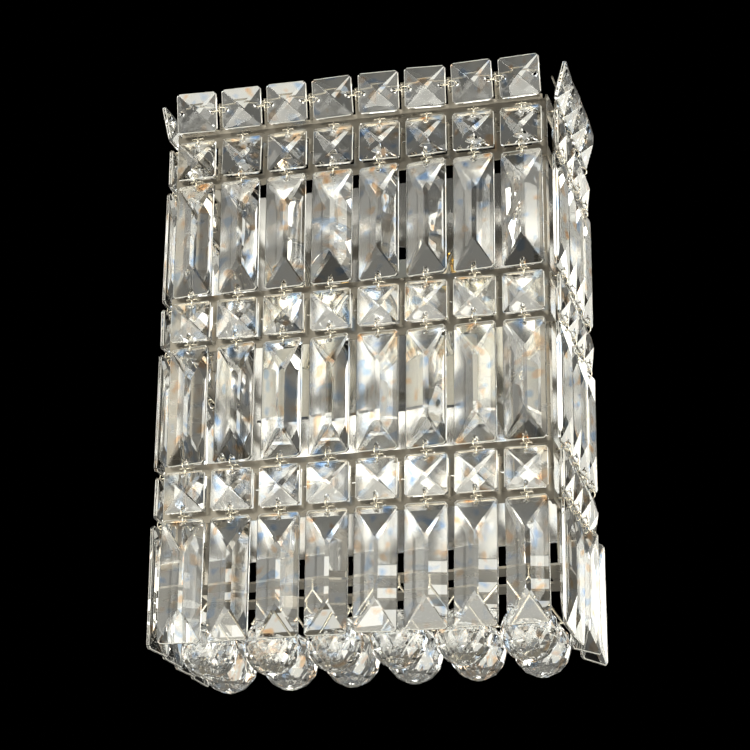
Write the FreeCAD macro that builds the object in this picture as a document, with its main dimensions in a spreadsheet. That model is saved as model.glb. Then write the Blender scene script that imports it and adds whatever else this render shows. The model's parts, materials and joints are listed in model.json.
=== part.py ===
import FreeCAD, Part
import math
import os
import Sketcher

# A box-shaped crystal wall sconce.  The origin is the centre of the mounting bar's back face, on the wall.
# +X is to the right, +Y runs into the wall and +Z is up.  The front and both sides are sheet-metal
# ladder bands, and faceted crystals hang in front of them on wire links.

DOC = FreeCAD.newDocument("sconce")
VECTOR = FreeCAD.Vector
X_AXIS = VECTOR(1, 0, 0)
Y_AXIS = VECTOR(0, 1, 0)
Z_AXIS = VECTOR(0, 0, 1)

FRONT_COLUMNS = 8
SIDE_COLUMNS = 4
TIERS = 3
BALLS_PER_ROW = 6
BALL_ROWS = 2
BALL_SIDES = 12
BALL_RINGS = 7

# Driving sizes in millimetres, angles in degrees.
SIZES = {
    # layout of the crystals
    "front_pitch": 25.4,
    "side_pitch": 23.0,
    "crystal_width": 22.0,
    "square_height": 22.0,
    "bar_height": 64.5,
    "row_gap": 3.6,
    "first_row_top": 46.0,
    "rear_gap": 3.5,
    # shape of the crystals
    "girdle": 1.6,
    "facet_rise": 3.4,
    "bar_end": 17.0,
    "corner_cut": 1.5,
    "crystal_hole": 2.6,
    "hole_inset": 2.7,
    "crystal_standoff": 0.3,
    # leaning top row
    "lean": 13.0,
    "crown_lift": 1.0,
    "crown_strip": 2.5,
    "finger_width": 3.2,
    "finger_height": 17.0,
    "crown_wire": 1.0,
    "crown_wire_level": 15.8,
    "crown_wire_end": 7.0,
    # sheet-metal frame
    "sheet": 1.0,
    "strip_height": 6.2,
    "top_strip_height": 7.8,
    "tie_width": 4.5,
    "leg_hole": 1.6,
    "tie_slot_length": 2.6,
    "tie_slot_height": 1.0,
    "angle_leg": 7.0,
    "angle_thick": 1.2,
    "post_drop": 1.0,
    "rear_flange": 13.2,
    # wire links
    "wire": 0.7,
    "ring_radius": 2.65,
    "ring_turn": 20.0,
    "ring_offset": 0.5,
    "staple_half": 2.8,
    "clinch": 0.8,
    # wall plate and its fixings
    "plate_gap": 10.5,
    "plate_thick": 1.2,
    "plate_foot": 3.0,
    "wire_hole": 26.0,
    "bar_length": 110.0,
    "bar_width": 18.0,
    "bar_thick": 2.0,
    "slot_spacing": 84.0,
    "slot_length": 12.0,
    "slot_width": 5.0,
    "stud_spacing": 63.5,
    "stud_dia": 4.0,
    "stud_reach": 5.0,
    "stud_clearance": 0.4,
    "nut_clearance": 0.1,
    "nut_flats": 8.0,
    "nut_height": 5.0,
    "nut_dome": 7.3,
    # lamps
    "lamp_spacing": 90.0,
    "lamp_depth": 50.0,
    "shelf_level": -104.0,
    "shelf_front": 16.0,
    "shelf_end": 17.0,
    "shelf_thick": 1.5,
    "shelf_tab": 20.0,
    "holder_dia": 20.0,
    "holder_height": 30.0,
    "holder_floor": 4.0,
    "socket_dia": 12.6,
    "base_clearance": 0.3,
    "base_length": 20.0,
    "bulb_belly_dia": 33.0,
    "bulb_height": 72.0,
    "bulb_neck_dia": 18.0,
    "bulb_neck_level": 8.6,
    "bulb_belly_level": 27.4,
    "bulb_shoulder_dia": 20.4,
    "bulb_shoulder_level": 51.8,
    "bulb_tip_dia": 4.0,
    # ball rack, straps and balls
    "rack_drop": 26.8,
    "rack_thick": 1.2,
    "rack_strip": 15.0,
    "strap_width": 6.0,
    "strap_lap": 9.0,
    "ball_dia": 30.0,
    "ball_pitch": 33.25,
    "ball_depth": 68.5,
    "ball_drop": 32.5,
    "ball_hole_level": 12.5,
    "bail_wire": 1.2,
    "bail_clearance": 0.05,
    "bail_stand_off": 0.4,
    "bail_prong": 5.0,
    "bail_head": 3.2,
    "stem_hole": 2.0,
}

SHEET = DOC.addObject("Spreadsheet::Sheet", "Sizes")
for row, (alias, value) in enumerate(SIZES.items(), start=1):
    SHEET.set(f"A{row}", alias)
    SHEET.set(f"B{row}", str(value))
    SHEET.setAlias(f"B{row}", alias)
DOC.recompute()

NODES = []


def size(alias):
    """The value of one driving size, read from the sheet."""
    return float(SHEET.get(alias))


def half_thickness():
    """Half of a crystal's thickness, at the top of its facets."""
    return size("girdle") / 2 + size("facet_rise")


def stand_off():
    """From the face of the bands to the middle plane of the crystals."""
    return half_thickness() + size("crystal_standoff")


def period():
    """Height of one square row and one bar tier."""
    return size("square_height") + size("bar_height") + 2 * size("row_gap")


def row_top(row):
    """Level of the top edge of one of the three upright square rows, counted from 0."""
    return size("first_row_top") - row * period()


def front_face():
    """Y of the front face of the front bands; the side bands run from here almost to the wall."""
    return -side_length() - size("rear_gap")


def side_length():
    """Length of a side band, along Y."""
    return SIDE_COLUMNS * size("side_pitch")


def half_width():
    """From the middle of the sconce to the outer face of a side band."""
    return FRONT_COLUMNS * size("front_pitch") / 2


def rotation(axis, degrees):
    return FreeCAD.Rotation(axis, degrees)


FACES = {
    "front": (FRONT_COLUMNS, "front_pitch", VECTOR(0, front_face(), 0), 0),
    "left": (SIDE_COLUMNS, "side_pitch", VECTOR(-half_width(), front_face() + side_length() / 2, 0), -90),
    "right": (SIDE_COLUMNS, "side_pitch", VECTOR(half_width(), front_face() + side_length() / 2, 0), 90),
}


def face_placement(face):
    """Places a face: X runs along it, Y=0 is the face of its bands and -Y points away from the lamps."""
    base, turn = FACES[face][2], FACES[face][3]
    return FreeCAD.Placement(base, rotation(Z_AXIS, turn))


def column_positions(face):
    """Middle of each crystal column along the face."""
    columns, pitch = FACES[face][0], size(FACES[face][1])
    return [(index - (columns - 1) / 2) * pitch for index in range(columns)]


def gap_positions(face):
    """Middle of each gap between two neighbouring columns."""
    columns = column_positions(face)
    return [(left + right) / 2 for left, right in zip(columns, columns[1:])]


def lean_placement():
    """The bend at the top of a face, from which the crown and the top row lean outwards."""
    level = size("first_row_top") + size("row_gap") / 2 + size("top_strip_height") / 2
    return FreeCAD.Placement(VECTOR(0, 0, level), rotation(X_AXIS, size("lean")))


def moved(shape, *placements):
    """A copy of the shape, carried through the placements from the last to the first."""
    total = FreeCAD.Placement()
    for placement in placements:
        total = total.multiply(placement)
    copy = shape.copy()
    copy.Placement = total.multiply(copy.Placement)
    return copy


def add_node(label, shapes):
    """One node whose solids come from Part's own functions."""
    node = DOC.addObject("Part::Feature", label)
    node.Label = label
    node.Shape = shapes[0] if len(shapes) == 1 else Part.makeCompound(shapes)
    NODES.append(node)
    return node


# ---------------------------------------------------------------- sketch and body helpers

def origin_plane(body, role):
    return next(feature for feature in body.Origin.OriginFeatures if feature.Role == role)


def new_sketch(body, name, role):
    sketch = body.newObject("Sketcher::SketchObject", name)
    sketch.AttachmentSupport = (origin_plane(body, role), [""])
    sketch.MapMode = "FlatFace"
    return sketch


def bind(sketch, constraint, expression):
    """Adds a length constraint and ties it to the sheet."""
    number = sketch.addConstraint(constraint)
    sketch.setExpression(f"Constraints[{number}]", expression)


def outline(sketch, corners):
    """A closed outline; each corner is a pair of expressions, measured from the sketch's origin."""
    evaluated = [[SHEET.evalExpression(text) for text in corner] for corner in corners]
    points = [VECTOR(float(across), float(up), 0) for across, up in evaluated]
    count = len(points)
    first = sketch.GeometryCount
    for index in range(count):
        sketch.addGeometry(Part.LineSegment(points[index], points[(index + 1) % count]), False)
    for index in range(count):
        after = first + (index + 1) % count
        sketch.addConstraint(Sketcher.Constraint("Coincident", first + index, 2, after, 1))
    for index, (across, up) in enumerate(corners):
        edge = first + index
        bind(sketch, Sketcher.Constraint("DistanceX", -1, 1, edge, 1, points[index].x), across)
        bind(sketch, Sketcher.Constraint("DistanceY", -1, 1, edge, 1, points[index].y), up)


def rectangle(sketch, left, right, bottom, top):
    outline(sketch, [(left, bottom), (right, bottom), (right, top), (left, top)])


def circle(sketch, across, up, diameter):
    """A circle whose centre and diameter are expressions."""
    centre = VECTOR(float(SHEET.evalExpression(across)), float(SHEET.evalExpression(up)), 0)
    radius = float(SHEET.evalExpression(diameter)) / 2
    edge = sketch.addGeometry(Part.Circle(centre, Z_AXIS, radius), False)
    bind(sketch, Sketcher.Constraint("Diameter", edge, 2 * radius), diameter)
    bind(sketch, Sketcher.Constraint("DistanceX", -1, 1, edge, 3, centre.x), across)
    bind(sketch, Sketcher.Constraint("DistanceY", -1, 1, edge, 3, centre.y), up)


def new_body(label):
    body = DOC.addObject("PartDesign::Body", label)
    body.Label = label
    return body


def pad(body, sketch, thickness, reverse=False):
    feature = body.newObject("PartDesign::Pad", sketch.Name + "Pad")
    feature.Profile = sketch
    feature.setExpression("Length", thickness)
    feature.Reversed = reverse
    sketch.Visibility = False
    return feature


def cut_through(body, sketch):
    feature = body.newObject("PartDesign::Pocket", sketch.Name + "Cut")
    feature.Profile = sketch
    feature.Type = "ThroughAll"
    feature.Midplane = True
    return feature


def repeat(body, originals, pitch, count, sketch):
    """Repeats cuts at a pitch along the sketch's own horizontal axis."""
    pattern = body.newObject("PartDesign::LinearPattern", originals[0].Name + "Row")
    pattern.Originals = originals
    pattern.Direction = (sketch, ["H_Axis"])
    pattern.Occurrences = count
    pattern.setExpression("Length", f"({pitch}) * {count - 1}")
    body.Tip = pattern
    return pattern


def place_body(body, base, turn_axis=Z_AXIS, degrees=0):
    """Puts a body at three expressions, turned about one axis."""
    numbers = [float(SHEET.evalExpression(text)) for text in base]
    body.Placement = FreeCAD.Placement(VECTOR(*numbers), rotation(turn_axis, degrees))
    for letter, text in zip("xyz", base):
        body.setExpression(f"Placement.Base.{letter}", text)


def s(alias):
    """The way an expression names a cell."""
    return f"Sizes.{alias}"


FRONT_FACE = f"(-{SIDE_COLUMNS} * {s('side_pitch')} - {s('rear_gap')})"
HALF_WIDTH = f"({FRONT_COLUMNS} * {s('front_pitch')} / 2)"
PERIOD = f"({s('square_height')} + {s('bar_height')} + 2 * {s('row_gap')})"
FRAME_TOP = f"({s('first_row_top')} + {s('row_gap')} / 2 + {s('top_strip_height')} / 2)"
LAST_GAP = f"({s('first_row_top')} - {TIERS - 1} * {PERIOD} - {s('square_height')} - {s('row_gap')} / 2)"
FRAME_FOOT = f"({LAST_GAP} - {s('strip_height')} / 2)"


# ---------------------------------------------------------------- ladder bands

def band_body(name, face, top_strip):
    """A flat ladder of sheet: two strips joined by a tie behind each gap.  Z=0 is its row's top edge."""
    columns, pitch = FACES[face][0], s(FACES[face][1])
    length = f"({columns} * {pitch})"
    trim = s("sheet") if face == "front" else "0"
    body = new_body(name)

    sheet_outline = new_sketch(body, name + "Sheet", "XZ_Plane")
    bottom = f"-({s('square_height')} + {s('row_gap')} / 2 + {s('strip_height')} / 2)"
    top = f"{s('row_gap')} / 2 + {top_strip} / 2"
    rectangle(sheet_outline, f"-{length} / 2 + {trim}", f"{length} / 2 - {trim}", bottom, top)
    pad(body, sheet_outline, s("sheet"), reverse=True)

    first = f"(-{length} / 2 + {pitch} / 2)"
    window = new_sketch(body, name + "Window", "XZ_Plane")
    opening = f"({pitch} - {s('tie_width')}) / 2"
    low = f"-({s('square_height')} + {s('row_gap')} / 2 - {s('strip_height')} / 2)"
    high = f"{s('row_gap')} / 2 - {top_strip} / 2"
    rectangle(window, f"{first} - {opening}", f"{first} + {opening}", low, high)
    for side in ("-", "+"):
        across = f"{first} {side} {s('staple_half')}"
        circle(window, across, f"{s('row_gap')} / 2", s("leg_hole"))
        circle(window, across, f"-({s('square_height')} + {s('row_gap')} / 2)", s("leg_hole"))
    windows = cut_through(body, window)
    DOC.recompute()
    repeat(body, [windows], pitch, columns, window)

    slot = new_sketch(body, name + "Slot", "XZ_Plane")
    middle = f"-{s('square_height')} / 2"
    at_gap = f"(-{length} / 2 + {pitch})"
    half_slot = f"{s('tie_slot_length')} / 2"
    half_height = f"{s('tie_slot_height')} / 2"
    rectangle(slot, f"{at_gap} - {half_slot}", f"{at_gap} + {half_slot}",
              f"{middle} - {half_height}", f"{middle} + {half_height}")
    slots = cut_through(body, slot)
    DOC.recompute()
    repeat(body, [slots], pitch, columns - 1, slot)
    return body


def crown_shape(face):
    """The comb above the bend: a low strip and a finger behind each gap, drilled for two link legs."""
    columns, pitch = FACES[face][0], size(FACES[face][1])
    sheet = size("sheet")
    trims = 4 if face == "front" else 2
    length = columns * pitch - trims * sheet
    root = sheet / 2
    comb = Part.makeBox(length, sheet, size("crown_strip") + root, VECTOR(-length / 2, 0, -root))
    width = size("finger_width")
    middle = size("crown_lift") + size("square_height") / 2
    for across in gap_positions(face):
        comb = comb.fuse(Part.makeBox(width, sheet, size("finger_height"), VECTOR(across - width / 2, 0, 0)))
    for across in gap_positions(face):
        for side in (-1, 1):
            start = VECTOR(across, -sheet, middle + side * size("staple_half"))
            comb = comb.cut(Part.makeCylinder(size("leg_hole") / 2, 3 * sheet, start, Y_AXIS))
    return comb.removeSplitter()


def make_band(face, level, name):
    """One band of one face, in place.  The top band carries the crown."""
    body = band_body(name + "Ladder", face, s("top_strip_height") if level == 0 else s("strip_height"))
    DOC.recompute()
    row = FreeCAD.Placement(VECTOR(0, 0, row_top(level)), FreeCAD.Rotation())
    ladder = moved(body.Shape, face_placement(face), row)
    if level == 0:
        crown = moved(crown_shape(face), face_placement(face), lean_placement())
        ladder = ladder.fuse(crown).removeSplitter()
    add_node(name, [ladder])


def make_bands():
    for face in FACES:
        for level, place in enumerate(("top", "middle", "low")):
            make_band(face, level, f"{face}_band_{place}")


# ---------------------------------------------------------------- posts

def angle_section(name, across_leg, depth_leg, base, turn):
    """An upright steel angle, from just under the crown's bend down to the foot of the low band."""
    thick = s("angle_thick")
    body = new_body(name)
    sketch = new_sketch(body, name + "Section", "XY_Plane")
    outline(sketch, [("0", "0"), (across_leg, "0"), (across_leg, thick), (thick, thick),
                     (thick, depth_leg), ("0", depth_leg)])
    pad(body, sketch, f"{FRAME_TOP} - {s('post_drop')} - {FRAME_FOOT}")
    place_body(body, base, Z_AXIS, turn)
    NODES.append(body)


def make_posts():
    """Front angles sit inside the corners; rear angles reach from the wall plate to the wall."""
    inner = f"{HALF_WIDTH} - {s('sheet')}"
    front = f"{FRONT_FACE} + {s('sheet')}"
    plate_back = f"-{s('plate_gap')}"
    leg = s("angle_leg")
    angle_section("front_post_left", leg, leg, [f"-({inner})", front, FRAME_FOOT], 0)
    angle_section("front_post_right", leg, leg, [inner, front, FRAME_FOOT], 90)
    flange = s("rear_flange")
    reach = s("plate_gap")
    angle_section("rear_post_left", flange, reach, [f"-({inner})", plate_back, FRAME_FOOT], 0)
    angle_section("rear_post_right", reach, flange, [inner, plate_back, FRAME_FOOT], 90)


# ---------------------------------------------------------------- wall plate and fixings

def make_wall_plate():
    """A flat plate screwed to the rear angles, with stud holes and a hole for the lamp leads."""
    body = new_body("wall_plate")
    sketch = new_sketch(body, "plateOutline", "XZ_Plane")
    edge = f"{HALF_WIDTH} - {s('sheet')} - {s('angle_thick')}"
    rectangle(sketch, f"-({edge})", edge, f"{FRAME_FOOT} + {s('plate_foot')}", FRAME_TOP)
    pad(body, sketch, s("plate_thick"))
    holes = new_sketch(body, "plateHoles", "XZ_Plane")
    circle(holes, "0", "0", s("wire_hole"))
    for side in ("-", ""):
        circle(holes, f"{side}{s('stud_spacing')} / 2", "0", f"{s('stud_dia')} + 2 * {s('stud_clearance')}")
    cut_through(body, holes)
    place_body(body, ["0", f"-{s('plate_gap')}", "0"])
    NODES.append(body)


def cut_screw_slots(body):
    """Two slots with round ends, for the screws of a wall box."""
    half_straight = f"({s('slot_length')} - {s('slot_width')}) / 2"
    half_wide = f"{s('slot_width')} / 2"
    middles = (f"-{s('slot_spacing')} / 2", f"{s('slot_spacing')} / 2")
    runs = new_sketch(body, "slotRuns", "XZ_Plane")
    ends = new_sketch(body, "slotEnds", "XZ_Plane")
    for middle in middles:
        left, right = f"{middle} - {half_straight}", f"{middle} + {half_straight}"
        rectangle(runs, left, right, f"-{half_wide}", half_wide)
        circle(ends, left, "0", s("slot_width"))
        circle(ends, right, "0", s("slot_width"))
    cut_through(body, runs)
    cut_through(body, ends)


def make_mounting_bar():
    """The flat bar that the wall box holds; its back face lies on the wall."""
    body = new_body("mounting_bar")
    sketch = new_sketch(body, "barOutline", "XZ_Plane")
    rectangle(sketch, f"-{s('bar_length')} / 2", f"{s('bar_length')} / 2",
              f"-{s('bar_width')} / 2", f"{s('bar_width')} / 2")
    pad(body, sketch, s("bar_thick"))
    cut_screw_slots(body)
    NODES.append(body)


def stud_positions():
    return [-size("stud_spacing") / 2, size("stud_spacing") / 2]


def plate_front():
    """Y of the lamp side of the wall plate."""
    return -size("plate_gap") - size("plate_thick")


def make_studs():
    """Two studs that stand on the mounting bar and pass through the wall plate."""
    length = -size("bar_thick") - plate_front() + size("stud_reach")
    studs = []
    for across in stud_positions():
        start = VECTOR(across, -size("bar_thick"), 0)
        studs.append(Part.makeCylinder(size("stud_dia") / 2, length, start, -Y_AXIS))
    add_node("mounting_studs", studs)


def cap_nut():
    """A domed hexagon nut with a blind bore.  Its seat is at the origin and it points along -Y."""
    across_corners = size("nut_flats") / math.sqrt(3)
    corners = [VECTOR(across_corners * math.cos(math.radians(60 * index)), 0,
                      across_corners * math.sin(math.radians(60 * index))) for index in range(7)]
    hexagon = Part.Face(Part.makePolygon(corners)).extrude(VECTOR(0, -size("nut_height"), 0))
    dome = Part.makeSphere(size("nut_dome") / 2, VECTOR(0, -size("nut_height"), 0))
    bore_radius = size("stud_dia") / 2 + size("nut_clearance")
    bore_depth = size("stud_reach") + size("nut_clearance")
    bore = Part.makeCylinder(bore_radius, bore_depth, VECTOR(0, 0, 0), -Y_AXIS)
    return hexagon.fuse(dome).cut(bore).removeSplitter()


def make_cap_nuts():
    nuts = []
    for across in stud_positions():
        seat = FreeCAD.Placement(VECTOR(across, plate_front(), 0), FreeCAD.Rotation())
        nuts.append(moved(cap_nut(), seat))
    add_node("cap_nuts", nuts)


# ---------------------------------------------------------------- lamps

def make_lamp_bracket():
    """A shelf with a tab bent down against the wall plate."""
    body = new_body("lamp_bracket")
    section = new_sketch(body, "shelfSection", "YZ_Plane")
    back = f"(-{s('plate_gap')} - {s('plate_thick')})"
    front = f"(-{s('lamp_depth')} - {s('shelf_front')})"
    level = s("shelf_level")
    under = f"({level} - {s('shelf_thick')})"
    tab_face = f"({back} - {s('shelf_thick')})"
    foot = f"({level} - {s('shelf_tab')})"
    outline(section, [(front, under), (tab_face, under), (tab_face, foot),
                      (back, foot), (back, level), (front, level)])
    shelf = pad(body, section, f"{s('lamp_spacing')} + 2 * {s('shelf_end')}")
    shelf.Midplane = True
    NODES.append(body)


def lamp_places():
    """Side name and expressions of the two lamp axes on the shelf."""
    depth = f"-{s('lamp_depth')}"
    half = f"{s('lamp_spacing')} / 2"
    return [("left", [f"-{half}", depth, s("shelf_level")]), ("right", [half, depth, s("shelf_level")])]


def revolve_section(body, sketch):
    feature = body.newObject("PartDesign::Revolution", sketch.Name + "Turn")
    feature.Profile = sketch
    feature.ReferenceAxis = (sketch, ["V_Axis"])
    feature.Angle = 360
    return feature


def make_lamp_holders():
    """Round candle lamp holders with a blind socket."""
    for side, place in lamp_places():
        body = new_body(f"lamp_holder_{side}")
        sketch = new_sketch(body, f"holderSection{side}", "XZ_Plane")
        outer = f"{s('holder_dia')} / 2"
        bore = f"{s('socket_dia')} / 2"
        outline(sketch, [("0", "0"), (outer, "0"), (outer, s("holder_height")), (bore, s("holder_height")),
                         (bore, s("holder_floor")), ("0", s("holder_floor"))])
        revolve_section(body, sketch)
        place_body(body, place)
        NODES.append(body)


def bulb_shape():
    """A candle bulb: a straight base, then a glass flame drawn to a tip.  Z=0 is the holder's rim."""
    base = size("socket_dia") / 2 - size("base_clearance")
    low = -size("base_length")
    seat = VECTOR(base, 0, size("base_clearance"))
    drawn_end = VECTOR(size("bulb_tip_dia") / 2, 0, size("bulb_height"))
    middles = [VECTOR(size(f"bulb_{place}_dia") / 2, 0, size(f"bulb_{place}_level"))
               for place in ("neck", "belly", "shoulder")]
    flame = Part.BSplineCurve()
    flame.interpolate([seat] + middles + [drawn_end])
    tip = VECTOR(0, 0, size("bulb_height"))
    edges = [Part.makeLine(VECTOR(0, 0, low), VECTOR(base, 0, low)),
             Part.makeLine(VECTOR(base, 0, low), seat),
             flame.toShape(),
             Part.makeLine(drawn_end, tip),
             Part.makeLine(tip, VECTOR(0, 0, low))]
    return Part.Face(Part.Wire(edges)).revolve(VECTOR(0, 0, 0), Z_AXIS, 360)


def make_bulbs():
    rim = size("shelf_level") + size("holder_height")
    for side, sign in (("left", -1), ("right", 1)):
        axis = VECTOR(sign * size("lamp_spacing") / 2, -size("lamp_depth"), rim)
        place = FreeCAD.Placement(axis, FreeCAD.Rotation())
        add_node(f"bulb_{side}", [moved(bulb_shape(), place)])


# ---------------------------------------------------------------- crystals

def facet_solid(corner_sets, faces):
    """A closed solid from named corner points and the faces that join them."""
    flat = []
    for names in faces:
        points = [corner_sets[name] for name in names]
        flat.append(Part.Face(Part.makePolygon(points + points[:1])))
    return Part.makeSolid(Part.makeShell(flat))


def hipped_crystal(height, end):
    """A crystal with a girdle and a hipped roof of facets front and back, centred on the origin.

    The roof's ridge stops short of each end by the length of the end facet; a square crystal's
    ridge shrinks to a point, which gives the cross of four facets.
    """
    across = size("crystal_width") / 2
    up = height / 2
    ridge = up - end
    edge = size("girdle") / 2
    corners = {}
    for side, sign in (("front", -1), ("back", 1)):
        for name, corner_x, corner_z in (("sw", -across, -up), ("se", across, -up),
                                         ("ne", across, up), ("nw", -across, up)):
            corners[side + name] = VECTOR(corner_x, sign * edge, corner_z)
        corners[side + "low"] = VECTOR(0, sign * half_thickness(), -ridge)
        corners[side + "high"] = VECTOR(0, sign * half_thickness(), ridge)
    faces = [("frontsw", "frontse", "backse", "backsw"), ("frontse", "frontne", "backne", "backse"),
             ("frontne", "frontnw", "backnw", "backne"), ("frontnw", "frontsw", "backsw", "backnw")]
    for side in ("front", "back"):
        low, high = side + "low", side + "high"
        if ridge <= 0:
            high = low
        faces.append((side + "sw", side + "se", low))
        faces.append((side + "ne", side + "nw", high))
        faces.append((side + "se", side + "ne", low) if ridge <= 0 else (side + "se", side + "ne", high, low))
        faces.append((side + "nw", side + "sw", low) if ridge <= 0 else (side + "nw", side + "sw", low, high))
    solid = facet_solid(corners, faces)
    return solid.common(corner_trimmer(across, up))


def corner_trimmer(across, up):
    """A block that trims the crystal's four corners."""
    cut = size("corner_cut")
    deep = 4 * half_thickness()
    points = [VECTOR(-across + cut, 0, -up), VECTOR(across - cut, 0, -up), VECTOR(across, 0, -up + cut),
              VECTOR(across, 0, up - cut), VECTOR(across - cut, 0, up), VECTOR(-across + cut, 0, up),
              VECTOR(-across, 0, up - cut), VECTOR(-across, 0, -up + cut)]
    block = Part.Face(Part.makePolygon(points + points[:1])).extrude(VECTOR(0, deep, 0))
    return moved(block, FreeCAD.Placement(VECTOR(0, -deep / 2, 0), FreeCAD.Rotation()))


def drill(crystal, across, up):
    """A hole through the crystal, from front to back."""
    deep = 4 * half_thickness()
    tool = Part.makeCylinder(size("crystal_hole") / 2, deep, VECTOR(across, -deep / 2, up), Y_AXIS)
    return crystal.cut(tool)


def square_crystal(drilled_sideways=False):
    """A square crystal, drilled at two opposite edges."""
    height = size("square_height")
    crystal = hipped_crystal(height, height / 2)
    if drilled_sideways:
        reach = size("crystal_width") / 2 - size("hole_inset")
        return drill(drill(crystal, -reach, 0), reach, 0)
    reach = height / 2 - size("hole_inset")
    return drill(drill(crystal, 0, -reach), 0, reach)


def bar_crystal(lower_hole=True):
    """A long bar crystal; the lowest tier has no hole at its foot."""
    height = size("bar_height")
    crystal = hipped_crystal(height, size("bar_end"))
    reach = height / 2 - size("hole_inset")
    crystal = drill(crystal, 0, reach)
    return drill(crystal, 0, -reach) if lower_hole else crystal


def hung_row(crystal, middle_level):
    """One crystal in every column of all three faces, its middle at one level."""
    row = []
    for face in FACES:
        for across in column_positions(face):
            place = FreeCAD.Placement(VECTOR(across, -stand_off(), middle_level), FreeCAD.Rotation())
            row.append(moved(crystal, face_placement(face), place))
    return row


def make_fixed_crystals():
    """The leaning top row, three upright square rows and the two tiers that are tied at both ends."""
    top_row = []
    middle = size("crown_lift") + size("square_height") / 2
    crystal = square_crystal(drilled_sideways=True)
    for face in FACES:
        for across in column_positions(face):
            place = FreeCAD.Placement(VECTOR(across, -stand_off(), middle), FreeCAD.Rotation())
            top_row.append(moved(crystal, face_placement(face), lean_placement(), place))
    add_node("crown_squares", top_row)
    for row in range(TIERS):
        row_middle = row_top(row) - size("square_height") / 2
        add_node(f"square_row_{row + 1}", hung_row(square_crystal(), row_middle))
    for tier in range(TIERS - 1):
        add_node(f"bar_tier_{tier + 1}", hung_row(bar_crystal(), bar_middle(tier)))


def bar_middle(tier):
    """Level of the middle of one tier of bars."""
    return row_top(tier) - size("square_height") - size("row_gap") - size("bar_height") / 2


def make_pendants():
    """The lowest tier: bars that hang on their upper ring only, each a moving piece of its own."""
    crystal = bar_crystal(lower_hole=False)
    for face in FACES:
        for number, across in enumerate(column_positions(face), start=1):
            place = FreeCAD.Placement(VECTOR(across, -stand_off(), bar_middle(TIERS - 1)), FreeCAD.Rotation())
            add_node(f"pendant_{face}_{number}", [moved(crystal, face_placement(face), place)])


# ---------------------------------------------------------------- wire links

def staple():
    """A bridge across the gap and two legs clinched behind the band, centred on a gap."""
    wire = size("wire") / 2
    half = size("staple_half")
    back = stand_off() + size("sheet") + size("clinch")
    bridge = Part.makeCylinder(wire, 2 * half, VECTOR(-half, 0, 0), X_AXIS)
    shape = bridge
    for side in (-half, half):
        leg = Part.makeCylinder(wire, back, VECTOR(side, 0, 0), Y_AXIS)
        elbow = Part.makeSphere(wire, VECTOR(side, 0, 0))
        shape = shape.fuse(elbow).fuse(leg)
    return shape.removeSplitter()


def link_ring(radius, centre, turn):
    """A wire ring that stands across the crystals, turned about the vertical."""
    ring = Part.makeTorus(radius, size("wire") / 2, VECTOR(0, 0, 0), X_AXIS)
    return moved(ring, FreeCAD.Placement(centre, rotation(Z_AXIS, turn)))


def link_set(gap, free_end=False):
    """One staple with its two rings, each through the crystal's hole and around the bridge.

    A link that carries a hanging piece has its rings side by side instead of turned.
    """
    radius = size("ring_radius")
    reach = gap / 2 + size("hole_inset") - radius
    turn = 0 if free_end else size("ring_turn")
    offset = size("ring_offset") if free_end else 0
    upper = link_ring(radius, VECTOR(-offset, 0, reach), -turn)
    lower = link_ring(radius, VECTOR(offset, 0, -reach), turn)
    return [staple(), upper, lower]


def close_link(gap):
    """One staple with a single ring, which joins the holes of two crystals that nearly touch."""
    return [staple(), link_ring(gap / 2 + size("hole_inset"), VECTOR(0, 0, 0), 0)]


def gap_levels():
    """Level of every gap above and below the square rows, and whether the piece below it hangs free."""
    levels = []
    for row in range(TIERS):
        levels.append((row_top(row) + size("row_gap") / 2, False))
        below = row_top(row) - size("square_height") - size("row_gap") / 2
        levels.append((below, row == TIERS - 1))
    return levels


def make_links():
    """Every link: above and below each square, and sideways between the squares of the top row."""
    solids = []
    crown_middle = size("crown_lift") + size("square_height") / 2
    for face in FACES:
        for level, free_end in gap_levels():
            pieces = link_set(size("row_gap"), free_end)
            if level > row_top(0):
                pieces = [pieces[0], pieces[2]]
            for across in column_positions(face):
                place = FreeCAD.Placement(VECTOR(across, -stand_off(), level), FreeCAD.Rotation())
                solids += [moved(piece, face_placement(face), place) for piece in pieces]
        gap = size(FACES[face][1]) - size("crystal_width")
        pieces = link_set(gap) if face == "front" else close_link(gap)
        for across in gap_positions(face):
            place = FreeCAD.Placement(VECTOR(across, -stand_off(), crown_middle), rotation(Y_AXIS, 90))
            solids += [moved(piece, face_placement(face), lean_placement(), place) for piece in pieces]
    add_node("crystal_links", solids)


def make_crown_wires():
    """A straight wire behind the fingers of each face, which keeps the top row in line."""
    radius = size("crown_wire") / 2
    wires = []
    for face in FACES:
        length = FACES[face][0] * size(FACES[face][1]) - 2 * size("crown_wire_end")
        start = VECTOR(-length / 2, size("sheet") + radius, size("crown_wire_level"))
        wire = Part.makeCylinder(radius, length, start, X_AXIS)
        wires.append(moved(wire, face_placement(face), lean_placement()))
    add_node("crown_wires", wires)


# ---------------------------------------------------------------- ball rack and balls

BALL_FRONT = f"(-{s('ball_depth')})"
RACK_LEVEL = f"({FRAME_FOOT} - {s('rack_drop')})"


def rack_top():
    """Level of the top face of the ball rack."""
    foot = row_top(TIERS - 1) - size("square_height") - size("row_gap") / 2 - size("strip_height") / 2
    return foot - size("rack_drop")


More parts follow.
